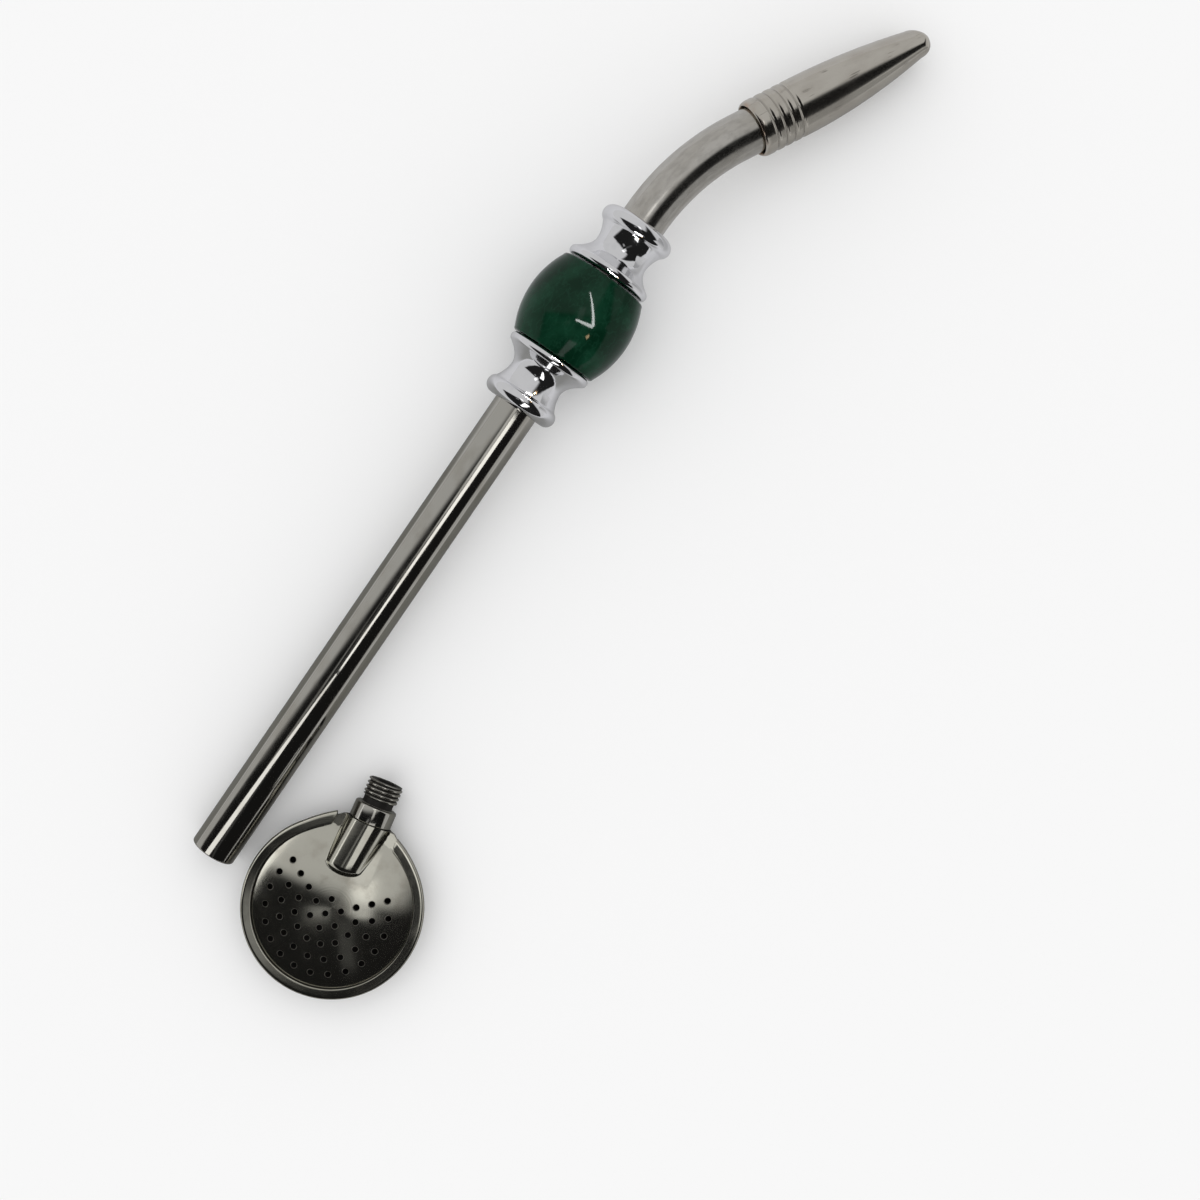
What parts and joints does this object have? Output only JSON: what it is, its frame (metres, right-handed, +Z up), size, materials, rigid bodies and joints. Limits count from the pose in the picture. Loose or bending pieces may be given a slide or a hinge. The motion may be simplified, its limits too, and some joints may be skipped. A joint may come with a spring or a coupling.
{
  "type": "bombilla",
  "caption": "Metal drinking straw for mate: a bent steel stem with a stone bead between two turned ferrules and a mouthpiece, beside its unscrewed perforated spoon strainer.",
  "frame": {"origin": "centre of the stem's open mouth, where the strainer screws in", "axes": "+X along the stem seen from above, from the mouth towards the bead; +Z up from the table the straw lies on; the bend and the strainer are on the -Y side"},
  "size_m": [0.1979, 0.0482, 0.0195],
  "materials": {
    "polished_steel": "mirror polished",
    "satin_steel": "worn satin",
    "satin_nickel": "worn satin, nickel plated",
    "chrome": "polished",
    "bead": "polished dark green stone or glass"
  },
  "bodies": {
    "stem": {"lower_tube": "polished_steel", "lower_ferrule": "chrome", "upper_ferrule": "chrome", "joining_sleeve": "satin_steel", "upper_tube": "satin_steel", "mouthpiece": "satin_nickel"},
    "bead": {"bead": "bead"},
    "strainer": {"strainer_front": "polished_steel", "strainer_back": "polished_steel", "strainer_nipple": "polished_steel"}
  },
  "joints": [
    {"name": "bead_spin", "type": "hinge", "parent": "stem", "child": "bead", "pos_m": [0.1115, 0, 0.00576], "axis": [0.9987, 0, 0.0516], "continuous": true},
    {"name": "strainer_draw", "type": "slide", "parent": "stem", "child": "strainer", "axis": [-0.981, -0.1942, 0], "range_m": [0, 0.06]}
  ]
}
